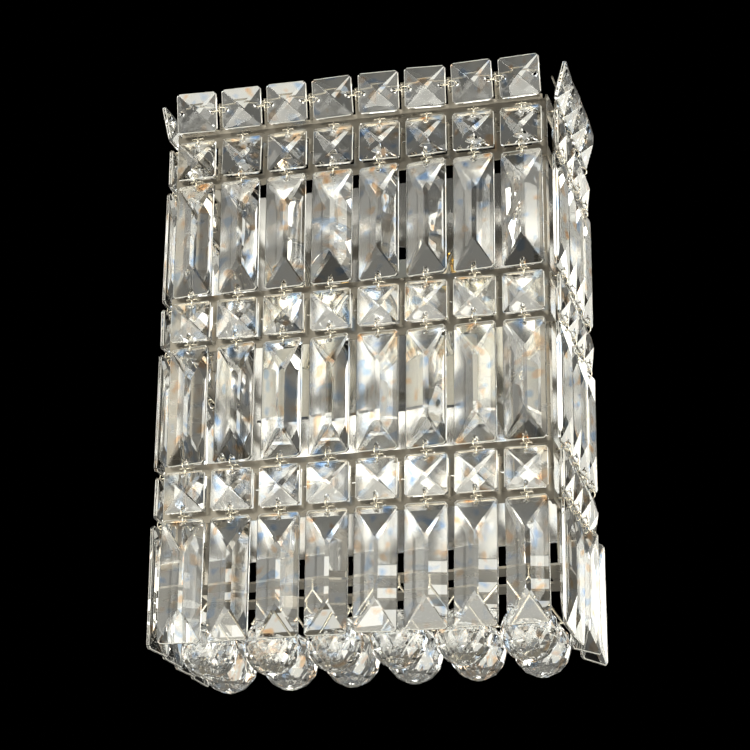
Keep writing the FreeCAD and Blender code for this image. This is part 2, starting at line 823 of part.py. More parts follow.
def rack_frame():
    """A flat frame of two strips, drilled for the stems of the balls."""
    body = new_body("rack_frame")
    sheet_outline = new_sketch(body, "rackOutline", "XY_Plane")
    edge = f"({HALF_WIDTH} - {s('sheet')} - {s('angle_thick')})"
    strip = s("rack_strip")
    back = f"({BALL_FRONT} + {BALL_ROWS - 1} * {s('ball_pitch')})"
    rectangle(sheet_outline, f"-{edge}", edge, f"{BALL_FRONT} - {strip} / 2", f"{back} + {strip} / 2")
    pad(body, sheet_outline, s("rack_thick"), reverse=True)
    window = new_sketch(body, "rackWindow", "XY_Plane")
    rectangle(window, f"-{edge} + {strip} / 2", f"{edge} - {strip} / 2",
              f"{BALL_FRONT} + {strip} / 2", f"{back} - {strip} / 2")
    cut_through(body, window)
    holes = new_sketch(body, "rackHoles", "XY_Plane")
    first = f"-{(BALLS_PER_ROW - 1) / 2} * {s('ball_pitch')}"
    for row in range(BALL_ROWS):
        circle(holes, first, f"{BALL_FRONT} + {row} * {s('ball_pitch')}", s("stem_hole"))
    drilled = cut_through(body, holes)
    DOC.recompute()
    repeat(body, [drilled], s("ball_pitch"), BALLS_PER_ROW, holes)
    place_body(body, ["0", "0", RACK_LEVEL])
    DOC.recompute()
    return body.Shape


def make_ball_rack():
    """The frame with four welded straps, which rise behind the low side bands."""
    thick = size("angle_thick")
    width = size("strap_width")
    bottom = rack_top() - size("rack_thick")
    height = size("rack_drop") + size("rack_thick") + size("strap_lap")
    first = -size("ball_depth") - size("rack_strip") / 2
    last = first + size("rack_strip") + (BALL_ROWS - 1) * size("ball_pitch") - width
    inner = half_width() - size("sheet")
    rack = rack_frame()
    for left in (-inner, inner - thick):
        for near in (first, last):
            rack = rack.fuse(Part.makeBox(thick, width, height, VECTOR(left, near, bottom)))
    add_node("ball_rack", [rack.removeSplitter()])


def ball_ring(latitude, shift):
    """Corner points of one ring of a faceted ball."""
    radius = size("ball_dia") / 2
    step = 2 * math.pi / BALL_SIDES
    flat = radius * math.cos(latitude)
    level = radius * math.sin(latitude)
    turns = [(index + shift) * step for index in range(BALL_SIDES)]
    return [VECTOR(flat * math.cos(turn), flat * math.sin(turn), level) for turn in turns]


def faceted_ball():
    """A ball cut with rings of triangular facets, flat at its poles, with a cross hole near the top."""
    limit = math.pi / 2 * (BALL_RINGS - 1) / BALL_RINGS
    latitudes = [-limit + 2 * limit * index / (BALL_RINGS - 1) for index in range(BALL_RINGS)]
    rings = [ball_ring(latitude, 0.5 * (index % 2)) for index, latitude in enumerate(latitudes)]
    faces = [Part.Face(Part.makePolygon(ring + ring[:1])) for ring in (rings[0], rings[-1])]
    for index in range(BALL_RINGS - 1):
        low, high = rings[index], rings[index + 1]
        lead = index % 2
        for corner in range(BALL_SIDES):
            after = (corner + 1) % BALL_SIDES
            up_tip = high[(corner + lead) % BALL_SIDES]
            down_tip = low[(corner + 1 - lead) % BALL_SIDES]
            faces.append(Part.Face(Part.makePolygon([low[corner], low[after], up_tip, low[corner]])))
            faces.append(Part.Face(Part.makePolygon([high[corner], high[after], down_tip, high[corner]])))
    ball = Part.makeSolid(Part.makeShell(faces))
    across = size("ball_dia")
    start = VECTOR(-across / 2, 0, size("ball_hole_level"))
    radius = size("bail_wire") / 2 + size("bail_clearance")
    return ball.cut(Part.makeCylinder(radius, across, start, X_AXIS))


def ball_places():
    """Row name, number and centre of every ball."""
    level = rack_top() - size("ball_drop")
    places = []
    for row, name in enumerate(("front", "back")):
        for number in range(BALLS_PER_ROW):
            across = (number - (BALLS_PER_ROW - 1) / 2) * size("ball_pitch")
            depth = row * size("ball_pitch") - size("ball_depth")
            places.append((name, number + 1, VECTOR(across, depth, level)))
    return places


def wire_run(start, end, radius):
    """A straight piece of round wire with a rounded end."""
    run = Part.makeCylinder(radius, (end - start).Length, start, end - start)
    return run.fuse(Part.makeSphere(radius, end))


def ball_bail():
    """A wire stirrup: two prongs in the ball's cross hole, two legs, and a headed stem in the rack."""
    wire = size("bail_wire") / 2
    level = size("ball_hole_level")
    lowest = level - size("bail_wire")
    side = math.sqrt((size("ball_dia") / 2) ** 2 - lowest ** 2) + wire + size("bail_stand_off")
    meeting = VECTOR(0, 0, size("ball_drop") - size("rack_thick") - size("bail_head"))
    stem_top = VECTOR(0, 0, size("ball_drop") + wire)
    shape = wire_run(meeting, stem_top, wire)
    for sign in (-1, 1):
        elbow = VECTOR(sign * side, 0, level)
        prong = VECTOR(sign * (side - size("bail_prong")), 0, level)
        shape = shape.fuse(wire_run(elbow, prong, wire)).fuse(wire_run(meeting, elbow, wire))
    head = Part.makeCylinder(size("bail_head") / 2, wire, VECTOR(0, 0, size("ball_drop")), Z_AXIS)
    return shape.fuse(head).removeSplitter()


def make_balls():
    ball = faceted_ball()
    bail = ball_bail()
    bails = []
    for row, number, centre in ball_places():
        place = FreeCAD.Placement(centre, FreeCAD.Rotation())
        add_node(f"ball_{row}_{number}", [moved(ball, place)])
        bails.append(moved(bail, place))
    add_node("ball_bails", bails)


# ---------------------------------------------------------------- build, check and write

def check_and_write():
    """Stops on any failed object or bad solid, then writes one file for each node."""
    DOC.recompute()
    for item in DOC.Objects:
        if "Invalid" in item.State or "Error" in item.State:
            raise RuntimeError(f"{item.Label} failed: {item.State}")
    os.makedirs("parts", exist_ok=True)
    for node in NODES:
        shape = node.Shape
        if shape.isNull() or not shape.isValid() or not shape.Solids:
            raise RuntimeError(f"{node.Label} has no valid solid")
        box = shape.BoundBox
        print(f"{node.Label}: {len(shape.Solids)} solids, {shape.Volume:.0f} mm3, "
              f"x {box.XMin:.1f}..{box.XMax:.1f} y {box.YMin:.1f}..{box.YMax:.1f} "
              f"z {box.ZMin:.1f}..{box.ZMax:.1f}")
        shape.exportStep(f"parts/{node.Label}.step")
    print(f"{len(NODES)} nodes")


make_bands()
make_posts()
make_wall_plate()
make_mounting_bar()
make_studs()
make_cap_nuts()
make_lamp_bracket()
make_lamp_holders()
make_bulbs()
make_fixed_crystals()
make_pendants()
make_links()
make_crown_wires()
make_ball_rack()
make_balls()
check_and_write()
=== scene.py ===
# %% [markdown]
# # A crystal wall sconce
# The sconce is a box of chromed sheet-metal ladders.  Cut crystals hang in front of the ladders on
# wire rings, faceted balls hang below them, and two candle lamps stand inside.  The frame comes ready
# made from the construction model.  This lesson gives every piece its finish, dresses the crystals,
# links and lamps with the small shapes that make them look real, and sets up the studio.

# %% Load the construction model
import bpy
import bmesh
import json
import math
import random
import numpy as np
from mathutils import Euler, Matrix, Vector


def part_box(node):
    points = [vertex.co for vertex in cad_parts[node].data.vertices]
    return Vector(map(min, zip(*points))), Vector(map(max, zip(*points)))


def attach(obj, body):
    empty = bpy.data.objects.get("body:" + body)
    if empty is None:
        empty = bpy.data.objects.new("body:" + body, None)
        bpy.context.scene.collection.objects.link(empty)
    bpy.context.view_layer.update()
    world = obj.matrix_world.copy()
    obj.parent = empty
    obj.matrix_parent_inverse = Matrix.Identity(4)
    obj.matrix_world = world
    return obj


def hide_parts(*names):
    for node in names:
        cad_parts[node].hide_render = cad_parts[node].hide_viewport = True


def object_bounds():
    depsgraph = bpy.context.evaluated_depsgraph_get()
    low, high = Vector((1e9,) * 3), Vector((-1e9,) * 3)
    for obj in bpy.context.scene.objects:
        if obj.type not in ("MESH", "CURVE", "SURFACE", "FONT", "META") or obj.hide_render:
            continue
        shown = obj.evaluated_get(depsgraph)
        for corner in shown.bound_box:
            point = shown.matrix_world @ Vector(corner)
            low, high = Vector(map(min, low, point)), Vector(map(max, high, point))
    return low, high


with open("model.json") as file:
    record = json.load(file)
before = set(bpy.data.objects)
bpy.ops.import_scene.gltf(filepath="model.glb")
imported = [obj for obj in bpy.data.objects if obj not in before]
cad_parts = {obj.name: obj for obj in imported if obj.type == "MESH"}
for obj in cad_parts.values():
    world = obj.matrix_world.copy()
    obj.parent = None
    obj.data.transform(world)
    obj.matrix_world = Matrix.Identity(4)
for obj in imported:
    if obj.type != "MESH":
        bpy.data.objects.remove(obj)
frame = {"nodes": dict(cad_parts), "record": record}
cad_box = [list(corner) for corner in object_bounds()]
MM = 0.001
UP = Vector((0.0, 0.0, 1.0))
print("nodes:", len(frame["nodes"]), "box:", cad_box)

# %% [markdown]
# ## The camera
# The photographer stood low and to the right and looked up at the sconce.  The place, the turn and the
# focal length were worked out from the photograph.  They could also be set by eye, but glass changes so
# much with the angle that a close match is worth the trouble.

# %% Camera
FOCAL_LENGTH_MM = 112.26
SENSOR_WIDTH_MM = 36.0
NEAREST_SEEN = 0.01
CAMERA_PLACE = (0.29878, -1.17707, -0.51410)
BEARING, LIFT, ROLL = math.radians(14.94), math.radians(-20.51), math.radians(0.50)


def add_object(name, data):
    """An object with this data, linked to the scene."""
    thing = bpy.data.objects.new(name, data)
    bpy.context.scene.collection.objects.link(thing)
    return thing


camera_data = bpy.data.cameras.new("studio_camera")
camera_data.lens = FOCAL_LENGTH_MM
camera_data.sensor_width = SENSOR_WIDTH_MM
camera_data.clip_start = NEAREST_SEEN
camera = add_object("studio_camera", camera_data)
turn = Euler((math.pi / 2 - LIFT, 0.0, BEARING)).to_matrix() @ Matrix.Rotation(ROLL, 3, "Z")
camera.matrix_world = Matrix.Translation(CAMERA_PLACE) @ turn.to_4x4()
bpy.context.scene.camera = camera
print("camera at", tuple(round(value, 3) for value in camera.location))

# %% [markdown]
# ## Helpers for materials
# Colours are written as sRGB hex values, the way a paint chart gives them, and one function turns them
# to the linear values that the renderer wants.  Another adds a node with its settings and links, and
# two short ones use it for what most finishes share: a noise that stays fixed to the piece, and a bump.

# %% Colour and node helpers
def linear(hex_colour):
    """The linear RGBA value of an sRGB hex colour."""
    channels = [int(hex_colour[start:start + 2], 16) / 255 for start in (1, 3, 5)]
    return [c / 12.92 if c <= 0.04045 else ((c + 0.055) / 1.055) ** 2.4 for c in channels] + [1.0]


def add_node(tree, kind, settings=None, inputs=None, links=None):
    """Adds a node: settings are its properties, inputs plain values, links incoming sockets."""
    node = tree.nodes.new(kind)
    for name, value in (settings or {}).items():
        setattr(node, name, value)
    for name, value in (inputs or {}).items():
        node.inputs[name].default_value = value
    for name, socket in (links or {}).items():
        tree.links.new(socket, node.inputs[name])
    return node


def new_material(name, **inputs):
    """A node material with one Principled surface; returns the material, its tree and the surface."""
    material = bpy.data.materials.new(name)
    material.use_nodes = True
    tree = material.node_tree
    tree.nodes.clear()
    surface = add_node(tree, "ShaderNodeBsdfPrincipled", inputs={
        key.replace("_", " "): value for key, value in inputs.items()})
    add_node(tree, "ShaderNodeOutputMaterial", links={"Surface": surface.outputs[0]})
    return material, tree, surface


def add_noise(tree, place, millimetres, detail):
    """Noise whose blotches are this many millimetres across, read at the place socket."""
    scale = 1.0 / (millimetres * MM)
    noise = add_node(tree, "ShaderNodeTexNoise", inputs={"Scale": scale, "Detail": detail},
                     links={"Vector": place})
    return noise.outputs["Fac"]


def add_bump(tree, surface, height, strength, millimetres):
    """Lets a height bend the surface's reflections."""
    bump = add_node(tree, "ShaderNodeBump", links={"Height": height},
                    inputs={"Strength": strength, "Distance": millimetres * MM})
    tree.links.new(bump.outputs["Normal"], surface.inputs["Normal"])


# %% [markdown]
# ## Cut crystal
# The trim is lead crystal: clear, heavy glass, sawn to shape, ground on a wheel and polished.  Its high
# index makes the facets flash, and it splits white light, so blue and amber glints show inside.  A real
# prism does that by bending each colour differently.  Here the glints are painted into the glass's
# colour as a faint drift, a few millimetres across, so they are weaker and don't follow the facets.

# %% Crystal
CRYSTAL_INDEX = 1.56
# The painted blue and amber glints at the ends, with the glass's clear colour between them.
FIRE = ((0.22, "#A6CBFF"), (0.33, "#FAFCFF"), (0.69, "#FFFEFA"), (0.79, "#FFCB98"))


def make_crystal():
    """Polishing leaves faint waves some 9 mm long, which bend the reflections a little."""
    material, tree, surface = new_material(
        "lead_crystal", Roughness=0.0, IOR=CRYSTAL_INDEX, Transmission_Weight=1.0)
    place = add_node(tree, "ShaderNodeTexCoord").outputs["Object"]
    drift = add_noise(tree, place, millimetres=7.0, detail=0.0)
    # The ramp paints blue and amber glints into the glass's colour.
    painted_glints = add_node(tree, "ShaderNodeValToRGB", links={"Fac": drift})
    steps = painted_glints.color_ramp.elements
    while len(steps) < len(FIRE):
        steps.new(1.0)
    for step, (position, colour) in zip(steps, FIRE):
        step.position = position
        step.color = linear(colour)
    tree.links.new(painted_glints.outputs["Color"], surface.inputs["Base Color"])
    waves = add_noise(tree, place, millimetres=9.0, detail=0.0)
    add_bump(tree, surface, waves, strength=0.03, millimetres=0.3)
    return material


def make_ground_edge():
    """The outline edges are ground finely and left matt, so they scatter light as a pale line."""
    material, tree, surface = new_material(
        "ground_crystal_edge", Base_Color=linear("#F7F5EE"), Roughness=0.45, IOR=CRYSTAL_INDEX,
        Transmission_Weight=0.45)
    place = add_node(tree, "ShaderNodeTexCoord").outputs["Object"]
    grit = add_noise(tree, place, millimetres=0.4, detail=2.0)
    spread = add_node(tree, "ShaderNodeMapRange", inputs={"To Min": 0.3, "To Max": 0.6},
                      links={"Value": grit})
    tree.links.new(spread.outputs["Result"], surface.inputs["Roughness"])
    return material


crystal = make_crystal()
ground_edge = make_ground_edge()
# Prints the colours of the painted glints.
print("crystal tints:", [colour for position, colour in FIRE])

# %% [markdown]
# ## Chrome, zinc, brass and wire
# The ladders are stamped from steel sheet and chrome plated without much polishing, so they look satin
# grey rather than like a mirror, and the rolling of the sheet leaves faint level streaks.  The wall
# plate and the lamp shelf are polished.  The mounting bar is zinc plated and duller, and the cap nuts
# are turned brass.  All are one function with other numbers, because a metal is mostly its colour and
# how dull it is.

# %% Metals
CLEANEST, DULLEST = 0.7, 1.5


def metal(name, colour, roughness, ripple, grain, stretch=1.0):
    """A bare or plated metal: a soft ripple in its reflections and fine changes in how dull it is.

    The grain is in millimetres, and the stretch draws it out along the level directions.
    """
    material, tree, surface = new_material(
        name, Base_Color=linear(colour), Metallic=1.0, Roughness=roughness)
    place = add_node(tree, "ShaderNodeTexCoord").outputs["Object"]
    along = add_node(tree, "ShaderNodeMapping", inputs={"Scale": (1.0, 1.0, stretch)},
                     links={"Vector": place})
    cloud = add_noise(tree, along.outputs["Vector"], grain, detail=3.0)
    spread = add_node(tree, "ShaderNodeMapRange", links={"Value": cloud}, inputs={
        "To Min": roughness * CLEANEST, "To Max": roughness * DULLEST})
    tree.links.new(spread.outputs["Result"], surface.inputs["Roughness"])
    add_bump(tree, surface, cloud, ripple, millimetres=0.5)
    return material


chrome = metal("satin_chrome_on_rolled_sheet", "#8F897E", roughness=0.27, ripple=0.02, grain=14.0,
               stretch=3.0)
polished_chrome = metal("polished_chrome_plate", "#CBCAC8", roughness=0.10, ripple=0.06, grain=22.0)
wire_metal = metal("chromed_wire", "#E2DBCB", roughness=0.12, ripple=0.02, grain=3.0)
# The crown wires are a darker, duller grey than the other wire, so that they show less.
dull_wire = metal("darkened_crown_wire", "#8C877C", roughness=0.30, ripple=0.02, grain=3.0)
zinc = metal("zinc_plated_steel", "#A9ABA8", roughness=0.32, ripple=0.10, grain=2.5)
brass = metal("polished_brass", "#C8A24A", roughness=0.14, ripple=0.04, grain=5.0)
tungsten = metal("drawn_tungsten", "#7E7A74", roughness=0.40, ripple=0.02, grain=1.0)
print("metals:", [finish.name for finish in (chrome, polished_chrome, wire_metal, dull_wire, zinc,
                                             brass, tungsten)])

# %% [markdown]
# ## Lamp materials
# The lamp holders are moulded in a pale heat-proof phenolic with a satin skin, slightly mottled.  The
# bulbs are thin blown glass with a tungsten loop inside.

# %% Phenolic and bulb glass
def make_phenolic():
    """A moulding powder of two pale shades, which shows as a fine mottle."""
    material, tree, surface = new_material(
        "satin_phenolic", Base_Color=linear("#CFCABC"), Roughness=0.45)
    place = add_node(tree, "ShaderNodeTexCoord").outputs["Object"]
    mottle = add_noise(tree, place, millimetres=1.5, detail=4.0)
    shade = add_node(tree, "ShaderNodeValToRGB", links={"Fac": mottle})
    shade.color_ramp.elements[0].color = linear("#C2BCAD")
    shade.color_ramp.elements[1].color = linear("#DAD6CA")
    tree.links.new(shade.outputs["Color"], surface.inputs["Base Color"])
    return material


def make_bulb_glass():
    """Clear, thin glass with the faint long waves that blowing leaves."""
    material, tree, surface = new_material(
        "blown_bulb_glass", Base_Color=linear("#FDFBF4"), Roughness=0.02, IOR=1.5,
        Transmission_Weight=1.0)
    place = add_node(tree, "ShaderNodeTexCoord").outputs["Object"]
    waves = add_noise(tree, place, millimetres=12.0, detail=0.0)
    add_bump(tree, surface, waves, strength=0.15, millimetres=0.4)
    return material


holder_plastic = make_phenolic()
bulb_glass = make_bulb_glass()
print("lamp materials:", holder_plastic.name, bulb_glass.name)

# %% [markdown]
# ## Finishes of the construction model
# The record names a material slot for every node, so most nodes get their finish by that name.  Four
# nodes differ from the rest of their slot and are named one by one.

# %% Give every node its finish
FINISH = {"crystal": crystal, "chrome": chrome, "zinc_steel": zinc, "brass": brass,
          "holder_plastic": holder_plastic, "bulb_glass": bulb_glass}
OWN_FINISH = {"wall_plate": polished_chrome, "lamp_bracket": polished_chrome,
              "crown_wires": dull_wire, "ball_bails": wire_metal}

slots = {part["node"]: part["material_slot"] for part in frame["record"]["subparts"]}
for name, node in frame["nodes"].items():
    finish = OWN_FINISH.get(name, FINISH[slots[name]])
    if not node.material_slots:
        node.data.materials.append(finish)
    for slot in node.material_slots:
        slot.material = finish
print("finishes given to", len(frame["nodes"]), "nodes")

# %% [markdown]
# ## Pieces and their bodies
# A piece that dresses or stands for a node of the construction model rides on that node's body, so it
# swings with it.  One function links the mesh to the scene, gives it its finish and says all of that.

# %% Piece helpers
body_of_node = {node: body for body, nodes in frame["record"]["behaviour"]["bodies"].items()
                for node in nodes}
SAME_POINT = 0.002 * MM


def make_piece(name, shape, finishes, node, replaces=True):
    """Turns a finished bmesh into a piece that rides on the node's body and may stand for the node."""
    mesh = bpy.data.meshes.new(name)
    shape.to_mesh(mesh)
    shape.free()
    for finish in finishes:
        mesh.materials.append(finish)
    piece = add_object(name, mesh)
    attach(piece, body_of_node[node])
    if replaces:
        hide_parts(node)
    return piece


def merged_copy(node):
    """A bmesh of a node's mesh whose loose triangles are joined along their edges."""
    shape = bmesh.new()
    shape.from_mesh(frame["nodes"][node].data)
    bmesh.ops.remove_doubles(shape, verts=shape.verts, dist=SAME_POINT)
    return shape


def separate_solids(shape):
    """The vertices of each solid in a merged mesh."""
    groups, seen = [], set()
    for start in shape.verts:
        if start in seen:
            continue
        seen.add(start)
        group = [start]
        for vertex in group:
            for edge in vertex.link_edges:
                other = edge.other_vert(vertex)
                if other not in seen:
                    seen.add(other)
                    group.append(other)
        groups.append(group)
    return groups


# %% [markdown]
# ## Crystals
# Every crystal has a thin ground edge, which catches the light as a bright line, and hangs a little
# differently from its neighbours, because its holes are wider than the wire.  The shapes are taken from
# the construction model, with their drilled holes, so a crystal could be left as it is.  Copying it
# lets the facets keep their shape while the edges get their bevel and each crystal its own small turn.

# %% Crystal helpers
LONG_EDGE = 1.2 * MM
FLAT = math.radians(0.5)
RIDGE = math.radians(5.0)
OUTLINE = math.radians(55.0)
chance = random.Random(11)


def sharp_edges(shape, angle):
    """The long edges between two facets that meet at more than this angle.

    A drilled hole's rim is made of short edges, so it is left sharp.  The long edges down a hole's wall
    meet at less than OUTLINE but more than RIDGE, so only the balls' are taken.
    """
    return [edge for edge in shape.edges if len(edge.link_faces) == 2
            and edge.calc_length() > LONG_EDGE and edge.calc_face_angle(0.0) > angle]


def hang_askew(group, from_top, twist, tilt, turned):
    """Turns one crystal about the upright line through its middle, and slides it back into the box.

    The angles are in degrees.  The twist and the tilt are the most that chance gives either way, and
    turned is added to the twist.  A tilt starts from the crystal's top, or else from half its height.
    """
    heights = [vertex.co.z for vertex in group]
    middle = sum((vertex.co for vertex in group), Vector()) / len(group)
    level = max(heights) if from_top else (min(heights) + max(heights)) / 2
    pivot = Vector((middle.x, middle.y, level))
    angles = Euler([math.radians(chance.uniform(-amount, amount)) for amount in (tilt, tilt, twist)])
    angles.z += math.radians(turned)
    turning = angles.to_matrix()
    for vertex in group:
        vertex.co = pivot + turning @ (vertex.co - pivot)
    for axis in range(3):
        under = min(vertex.co[axis] for vertex in group) - cad_box[0][axis]
        over = max(vertex.co[axis] for vertex in group) - cad_box[1][axis]
        slide = -min(under, 0.0) - max(over, 0.0)
        for vertex in group:
            vertex.co[axis] += slide


def dress_crystals(node, edge_width, twist, tilt, from_top=False, angle=OUTLINE, turned=0.0):
    """A copy of a node's crystals, with bevelled edges and a turn for each crystal."""
    shape = merged_copy(node)
    bmesh.ops.dissolve_limit(shape, angle_limit=FLAT, verts=shape.verts, edges=shape.edges)
    ground = bmesh.ops.bevel(shape, geom=sharp_edges(shape, angle), offset=edge_width,
                             offset_type="OFFSET", segments=1, profile=0.5, material=-1,
                             affect="EDGES")["faces"]
    for face in ground:
        face.material_index = 1 if angle == OUTLINE else 0
    for group in separate_solids(shape):
        hang_askew(group, from_top, twist, tilt, turned)
    for face in shape.faces:
        face.smooth = False
    return make_piece("cut_" + node, shape, [crystal, ground_edge], node)


# %% [markdown]
# ## Crystals of the fixed rows
# The squares and the upper bars are wired above and below, so they turn less than the hanging ones.
# Each gets a turn of its own from a seeded chance, which is the same in every run.  It stands for the
# play in the wires and isn't read from the photograph.  The bars also share a turn to one side.

# %% Squares and tied bars
GROUND_EDGE = 0.32 * MM
SQUARE_TWIST, SQUARE_TILT = 3.5, 0.8
BAR_TWIST, BAR_TILT, BAR_TURNED = 5.0, 0.3, -5.0
for node in ("crown_squares", "square_row_1", "square_row_2", "square_row_3"):
    squares = dress_crystals(node, GROUND_EDGE, SQUARE_TWIST, SQUARE_TILT)
for node in ("bar_tier_1", "bar_tier_2"):
    bars = dress_crystals(node, GROUND_EDGE, BAR_TWIST, BAR_TILT, turned=BAR_TURNED)
print("faces in a square row:", len(squares.data.polygons), "in a bar tier:", len(bars.data.polygons))

# %% [markdown]
# ## Hanging bars and balls
# The lowest bars hang from one ring each, so they twist more freely than the tied ones.  The two bars
# of the right side that are nearest the wall show a broad white face in the photograph, and are turned
# out by about 30 degrees for it.  A bar clears its wires only up to about 13 degrees, so these two cut
# into the wires and the sheet behind them.  The balls' ridges are polished, not ground, so their bevel
# is finer and keeps the crystal's finish.

# %% Bars of the lowest tier, and the balls
POLISHED_EDGE = 0.10 * MM
LOOSE_TWIST = {"front": 11.0, "left": 5.0, "right": 5.0}
LOOSE_TILT = 0.4
USUAL_TURN = -4.0
TURNED_OUT = {"pendant_right_3": -30.0, "pendant_right_4": -28.0, "pendant_front_7": -9.0}
hanging = [node for node in frame["nodes"] if node.startswith("pendant_")]
balls = [node for node in frame["nodes"] if node.startswith(("ball_front_", "ball_back_"))]
for node in hanging:
    dress_crystals(node, GROUND_EDGE, LOOSE_TWIST[node.split("_")[1]], LOOSE_TILT, from_top=True,
                   turned=TURNED_OUT.get(node, USUAL_TURN))
for node in balls:
    dress_crystals(node, POLISHED_EDGE, 0.0, 0.0, angle=RIDGE)
print("dressed", len(hanging), "hanging bars and", len(balls), "balls")

# %% [markdown]
# ## Wire links
# A staple of hard wire crosses each gap, its legs go through the band, and a ring or two joins it to the
# crystals.  There are hundreds of them, so each has only a few dozen faces.  A ring is a small circle
# spun once around, and a staple is three short rods with a ball at each corner.

# %% Light rings and staples
WIRE_RADIUS = 0.35 * MM
RING_RADIUS = 2.65 * MM
RING_AXIS = Vector((1.0, 0.0, 0.0))
WIRE_SIDES = 6
RING_STEPS = 18
SEAM = 0.01 * MM


def spin_round(shape, centre, axis, steps):
    """Spins all of a shape once around, closes the seam and turns the faces outwards."""
    bmesh.ops.spin(shape, geom=shape.verts[:] + shape.edges[:], cent=centre, axis=axis,
                   angle=2 * math.pi, steps=steps, use_merge=True)
    bmesh.ops.remove_doubles(shape, verts=shape.verts, dist=SEAM)
    bmesh.ops.recalc_face_normals(shape, faces=shape.faces)


def place_facing(middle, axis, direction):
    """The place that moves a shape to this middle and turns its axis to this direction."""
    return Matrix.Translation(middle) @ axis.rotation_difference(direction).to_matrix().to_4x4()


def ring_shape():
    """One ring in the YZ plane: a small circle swept once around the X axis."""
    shape = bmesh.new()
    circle = bmesh.ops.create_circle(shape, segments=WIRE_SIDES, radius=WIRE_RADIUS)["verts"]
    bmesh.ops.translate(shape, verts=circle, vec=(0.0, RING_RADIUS, 0.0))
    spin_round(shape, (0.0, 0.0, 0.0), RING_AXIS, RING_STEPS)
    return shape


def wire_between(shape, start, end):
    """A straight round wire with closed ends."""
    start, end = Vector(start), Vector(end)
    run = end - start
    bmesh.ops.create_cone(shape, cap_ends=True, segments=WIRE_SIDES, radius1=WIRE_RADIUS,
                          radius2=WIRE_RADIUS, depth=run.length,
                          matrix=place_facing((start + end) / 2, UP, run))


def staple_shape(half_width, leg):
    """A bridge along X with two legs that run along Y, and a round elbow at each corner."""
    shape = bmesh.new()
    wire_between(shape, (-half_width, 0.0, 0.0), (half_width, 0.0, 0.0))
    for side in (-half_width, half_width):
        wire_between(shape, (side, 0.0, 0.0), (side, leg, 0.0))
        bmesh.ops.create_icosphere(shape, subdivisions=1, radius=WIRE_RADIUS,
                                   matrix=Matrix.Translation((side, 0.0, 0.0)))
    return shape


def as_pattern(name, shape):
    """A smooth-shaded mesh of the shape, kept to be copied from."""
    for face in shape.faces:
        face.smooth = True
    pattern = bpy.data.meshes.new(name)
    shape.to_mesh(pattern)
    shape.free()
    return pattern


def stamp(target, pattern, place):
    """Adds a copy of the pattern at a place."""
    count = len(target.verts)
    target.from_mesh(pattern)
    target.verts.ensure_lookup_table()
    bmesh.ops.transform(target, matrix=place, verts=target.verts[count:])


# %% [markdown]
# ## Where the links lie
# The construction model holds every link, so its own points say where each one goes.  A ring is a flat
# loop and faces the way in which its points spread least.  A staple's bridge and legs follow from the
# side of the frame it is on, and the staples of the top row lean outwards with the row.

# %% Measure a link
RING_POINTS = 1000  # a ring of the construction model has more points than this, a staple has fewer
LEAN = math.radians(13.0)
PAST_SHEET = 1.5 * MM
half_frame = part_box("front_band_middle")[1].x + PAST_SHEET
bend_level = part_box("front_post_left")[1].z + PAST_SHEET


def ring_place(points, middle):
    """The place of a ring, from the middle and the spread of its points."""
    facing = Vector(np.linalg.svd(points - points.mean(axis=0), full_matrices=False)[2][2])
    return place_facing(middle, RING_AXIS, facing)


def link_axes(middle):
    """Bridge and leg directions of the staple at this place, from the face and the row's lean."""
    side = abs(middle.x) > half_frame
    outward = Vector((math.copysign(1.0, middle.x), 0.0, 0.0)) if side else Vector((0.0, -1.0, 0.0))
    if middle.z < bend_level:
        return outward.cross(UP), -outward
    bridge = UP * math.cos(LEAN) + outward * math.sin(LEAN)
    return bridge, UP * math.sin(LEAN) - outward * math.cos(LEAN)


def staple_place(points, middle):
    """The place of a staple, with half its bridge and the length of its legs."""
    bridge, leg = link_axes(middle)
    level = bridge.cross(leg)
    across, deep = points @ np.array(bridge), points @ np.array(leg)
    origin = (bridge * float(across.min() + across.max()) / 2
              + leg * (float(deep.min()) + WIRE_RADIUS)
              + level * float((points @ np.array(level)).mean()))
    axes = Matrix((bridge, leg, level)).transposed().to_4x4()
    half_width = float(np.ptp(across)) / 2 - WIRE_RADIUS
    return Matrix.Translation(origin) @ axes, half_width, float(np.ptp(deep)) - WIRE_RADIUS


print("staples past", round(half_frame, 4), "are on a side, above", round(bend_level, 4), "they lean")

# %% Place the links
ring = as_pattern("ring_pattern", ring_shape())
staple = None
links = bmesh.new()
counted = {"rings": 0, "staples": 0}
source = merged_copy("crystal_links")
for group in separate_solids(source):
    points = np.array([vertex.co[:] for vertex in group])
    middle = Vector(points.mean(axis=0))
    if len(group) > RING_POINTS:
        stamp(links, ring, ring_place(points, middle))
        counted["rings"] += 1
        continue
    place, half_width, leg_length = staple_place(points, middle)
    if staple is None:
        staple = as_pattern("staple_pattern", staple_shape(half_width, leg_length))
    stamp(links, staple, place)
    counted["staples"] += 1
source.free()
wire_links = make_piece("wire_links", links, [wire_metal], "crystal_links")
print(counted, "faces:", len(wire_links.data.polygons))

# %% [markdown]
# ## Candle bulbs
# A candle bulb is a thin glass flame on a screwed brass shell, with a glass stem that carries a tungsten
# loop.  The construction model has it as one solid.  Here the flame is spun from a few points, smoothed
# by subdivision and given its wall, so that light passes through it as through the real one.  The shell
# is spun too, and the loop is a bent curve.  The stem isn't modelled.

# %% Bulb helpers
SPIN_STEPS = 32


def spun(outline, axis):
    """Spins an outline of (radius, level) points about an upright axis."""
    shape = bmesh.new()
    points = [shape.verts.new((axis.x + radius, axis.y, level)) for radius, level in outline]
    for first, second in zip(points, points[1:]):
        shape.edges.new((first, second))
    spin_round(shape, axis, UP, SPIN_STEPS)
    for face in shape.faces:
        face.smooth = True
    return shape


def add_smoothing(piece, levels):
    """Subdivision that is the same in the view and in the render."""
    smoothing = piece.modifiers.new("smoothing", "SUBSURF")
    smoothing.levels = levels
    smoothing.render_levels = levels


